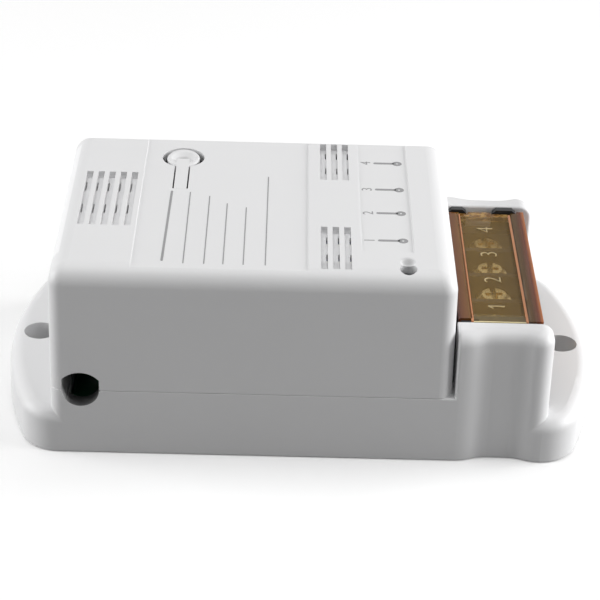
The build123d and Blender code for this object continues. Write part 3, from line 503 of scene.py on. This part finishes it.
def add_band(nodes, mask, colour, opacity, tints, band_opacity):
    """The lid's colour and opacity so far, and a patchy painted band over them where the mask is 1"""
    patches = nodes.ramp(nodes.noise(*LID_BAND_PATCHES), *tints, LID_BAND_RANGE)
    inputs = {"Value": mask, "To Min": opacity, "To Max": band_opacity}
    return nodes.mix(mask, colour, patches), nodes.add("ShaderNodeMapRange", inputs).outputs["Result"]


def make_materials():
    """The material of each slot, and of each finish that only this script's pieces have, by name"""
    materials = {"white_shell": white_shell_material(), "amber_plastic": amber_material()}
    for name, look in PLASTICS.items():
        materials[name] = plastic(name, *look).material
    for name, look in RELIEF_PLASTICS.items():
        materials[name] = plastic(name, *look, RELIEF_BUMP).material
    for name, look in METALS.items():
        materials[name] = metal(name, *look).material
    return materials


def dress_nodes():
    """Every CAD node gets its slot's material"""
    for part in frame["record"]["subparts"]:
        mesh = frame["nodes"][part["node"]].data
        mesh.materials.clear()
        mesh.materials.append(MATERIALS[part["material_slot"]])


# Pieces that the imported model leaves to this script: ink marks on the cover, and the lid's relief

def dress(obj, material, body):
    obj.data.materials.append(MATERIALS[material])
    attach(obj, body)


def mesh_object(name, bm):
    mesh = bpy.data.meshes.new(name)
    bm.to_mesh(mesh)
    bm.free()
    return link(bpy.data.objects.new(name, mesh))


def add_bar(bm, start, end, width, rise, level):
    """A flat bar between two points of a level face, with round ends"""
    start, end = Vector(start), Vector(end)
    turn = atan2(end.y - start.y, end.x - start.x)
    outline = []
    for centre, first in ((end, -90), (start, 90)):
        for step in range(BAR_END_STEPS + 1):
            angle = turn + radians(first + 180 * step / BAR_END_STEPS)
            outline.append((centre.x + width / 2 * cos(angle), centre.y + width / 2 * sin(angle)))
    add_plate(bm, outline, rise, level)


def add_plate(bm, outline, rise, level):
    """A thin plate with a closed outline, standing on a level face"""
    low, high = ([bm.verts.new((x * MM, y * MM, z * MM)) for x, y in outline] for z in (level, level + rise))
    bm.faces.new(high)
    bm.faces.new(low[::-1])
    for i in range(len(outline)):
        j = (i + 1) % len(outline)
        bm.faces.new((low[i], low[j], high[j], high[i]))


def add_ring(bm, centre, outer, inner, rise, level):
    """A flat ring on a level face"""
    profile = ((outer, level), (outer, level + rise), (inner, level + rise), (inner, level))
    corners = []
    for step in range(RING_STEPS):
        angle = 2 * pi * step / RING_STEPS
        corners.append([])
        for radius, z in profile:
            x = centre[0] + radius * cos(angle)
            y = centre[1] + radius * sin(angle)
            corners[-1].append(bm.verts.new((x * MM, y * MM, z * MM)))
    for i, here in enumerate(corners):
        there = corners[(i + 1) % RING_STEPS]
        for k in range(len(profile)):
            after = (k + 1) % len(profile)
            bm.faces.new((here[k], there[k], there[after], here[after]))


def numeral(name, text, centre, height, level, rise, weight=0.0):
    """A raised numeral whose top points to -X, centred on a point of a level face"""
    curve = bpy.data.curves.new(name, "FONT")
    curve.body = text
    curve.size = height * NUMERAL_SIZE * MM
    curve.align_x = "CENTER"
    curve.align_y = "CENTER"
    curve.extrude = rise / 2 * MM
    curve.offset = weight * MM
    curve.resolution_u = NUMERAL_STEPS
    source = bpy.data.objects.new(name, curve)
    mesh = bpy.data.meshes.new_from_object(source)
    bpy.data.objects.remove(source)
    place = Vector((centre[0], centre[1], level + rise / 2)) * MM
    mesh.transform(Matrix.Translation(place) @ Matrix.Rotation(pi / 2, 4, "Z"))
    return link(bpy.data.objects.new(name, mesh))


def add_flag(obj, top, level):
    """The short stroke at the head of a 1"""
    bm = bmesh.new()
    bm.from_mesh(obj.data)
    add_bar(bm, top, (top[0] + LID_FLAG[0], top[1] + LID_FLAG[1]), LID_FLAG_WIDTH, LID_NUMBER_RISE, level)
    bm.to_mesh(obj.data)
    bm.free()


def make_cover_marks():
    """Grey ink on the cover's sunk panels: a mark and a number for each terminal, and a blank ruled label"""
    top = box_mm("button_tab")[1][2]
    bm = bmesh.new()
    for y in TERMINAL_MARK_ROWS.values():
        add_ring(bm, (MARK_HEAD_X, y), MARK_HEAD_RADIUS, MARK_HEAD_HOLE, INK_RISE, top)
        add_bar(bm, (MARK_HEAD_X - MARK_HEAD_RADIUS, y), (MARK_TAIL_X, y), MARK_TAIL_WIDTH, INK_RISE, top)
    dress(mesh_object("terminal_marks", bm), "grey_ink", "housing")
    for number, y in TERMINAL_MARK_ROWS.items():
        obj = numeral("mark_number_" + number, number, (MARK_NUMBER_X, y), MARK_NUMBER_HEIGHT, top, INK_RISE)
        dress(obj, "grey_ink", "housing")
    bm = bmesh.new()
    add_bar(bm, *LABEL_RULE, LABEL_RULE_WIDTH, INK_RISE, top)
    for x, far in LABEL_LINES:
        add_bar(bm, (x, LABEL_LINES_START), (x, far), LABEL_LINE_WIDTH, INK_RISE, top)
    dress(mesh_object("label_rules", bm), "grey_ink", "housing")


def make_lid_relief():
    """Ribs with a painted highlight, a thin bar of painted highlight along the near edge, and numerals on the
    lid
    """
    low, high = box_mm("terminal_lid")
    panel = high[2] - LID_STRIP_RISE
    left, right = low[0] + LID_LEFT_STRIP, high[0] - LID_RIGHT_STRIP
    near, far = low[1] + LID_RIB_MARGIN, high[1] - LID_RIB_REAR_MARGIN
    bm = bmesh.new()
    for x in (left, right):
        add_bar(bm, (x, near), (x, far), LID_RIB_WIDTH, LID_STRIP_RISE, panel)
    dress(mesh_object("lid_ribs", bm), "rib_highlight_amber", "lid")
    edge = low[1] + LID_EDGE_MARGIN
    bm = bmesh.new()
    add_bar(bm, (left, edge), (right, edge), LID_EDGE_WIDTH, LID_EDGE_RISE, panel)
    dress(mesh_object("lid_painted_highlight_edge", bm), "edge_highlight_amber", "lid")
    for i, text in enumerate(LID_NUMBERS):
        y = (i - (len(LID_NUMBERS) - 1) / 2) * POLE_PITCH + LID_NUMBER_SHIFT
        obj = numeral("lid_number_" + text, text, (LID_NUMBER_X, y), LID_NUMBER_HEIGHT, panel,
                      LID_NUMBER_RISE, LID_NUMBER_WEIGHT)
        if text == "1":
            add_flag(obj, (LID_NUMBER_X - LID_NUMBER_HEIGHT / 2, y), panel)
        dress(obj, "number_amber", "lid")


# Stage: pale floor, white surroundings and soft lamps

def background_rays(tree):
    """1 for rays that show the background: straight from the camera, mirrored or through glass"""
    rays = add_node(tree, "ShaderNodeLightPath", {}).outputs
    mirrored = maths(tree, "MAXIMUM", rays["Is Glossy Ray"], rays["Is Transmission Ray"])
    return maths(tree, "MAXIMUM", rays["Is Camera Ray"], mirrored)


def floor_material():
    """Pale floor that takes the shadow: white where it is seen, greyer as a source of bounced light"""
    material = bpy.data.materials.new("floor")
    material.use_nodes = True
    tree = material.node_tree
    tree.nodes.clear()
    white = add_node(tree, "ShaderNodeBsdfDiffuse", {"Color": grey(FLOOR_WHITE)}).outputs[0]
    glow = add_node(tree, "ShaderNodeEmission", {"Strength": FLOOR_GLOW}).outputs[0]
    seen = add_node(tree, "ShaderNodeAddShader", {0: white, 1: glow}).outputs[0]
    bounce = add_node(tree, "ShaderNodeBsdfDiffuse", {"Color": grey(FLOOR_BOUNCE)}).outputs[0]
    mix = add_node(tree, "ShaderNodeMixShader", {"Fac": background_rays(tree), 1: bounce, 2: seen}).outputs[0]
    add_node(tree, "ShaderNodeOutputMaterial", {"Surface": mix})
    return material


def make_floor():
    mesh = bpy.data.meshes.new("floor")
    reach = FLOOR_REACH * MM
    corners = [(-reach, -reach, 0), (reach, -reach, 0), (reach, reach, 0), (-reach, reach, 0)]
    mesh.from_pydata(corners, [], [(0, 1, 2, 3)])
    floor = link(bpy.data.objects.new("floor", mesh))
    floor.location.z = -FLOOR_DROP * MM
    mesh.materials.append(floor_material())


def make_world():
    """White to the camera and in reflections, dimmer as light on the object"""
    world = bpy.data.worlds.new("world")
    bpy.context.scene.world = world
    world.use_nodes = True
    tree = world.node_tree
    inputs = {"Value": background_rays(tree), "To Min": WORLD_LIGHT, "To Max": 1.0}
    strength = add_node(tree, "ShaderNodeMapRange", inputs).outputs["Result"]
    background = tree.nodes["Background"]
    feed(tree, background.inputs["Color"], grey(1.0))
    feed(tree, background.inputs["Strength"], strength)


def make_lights():
    for name, (place, size, power) in LAMPS.items():
        data = bpy.data.lights.new(name, "AREA")
        data.shape = "RECTANGLE"
        data.size, data.size_y = (v * MM for v in size)
        data.energy = power
        lamp = link(bpy.data.objects.new(name, data))
        lamp.location = Vector(place) * MM
        lamp.rotation_euler = (Vector(LAMP_TARGET) - Vector(place)).to_track_quat("-Z", "Y").to_euler()


MATERIALS = make_materials()
make_camera()
dress_nodes()
make_cover_marks()
make_lid_relief()
make_floor()
make_world()
make_lights()
bpy.context.scene.view_settings.view_transform = "Standard"
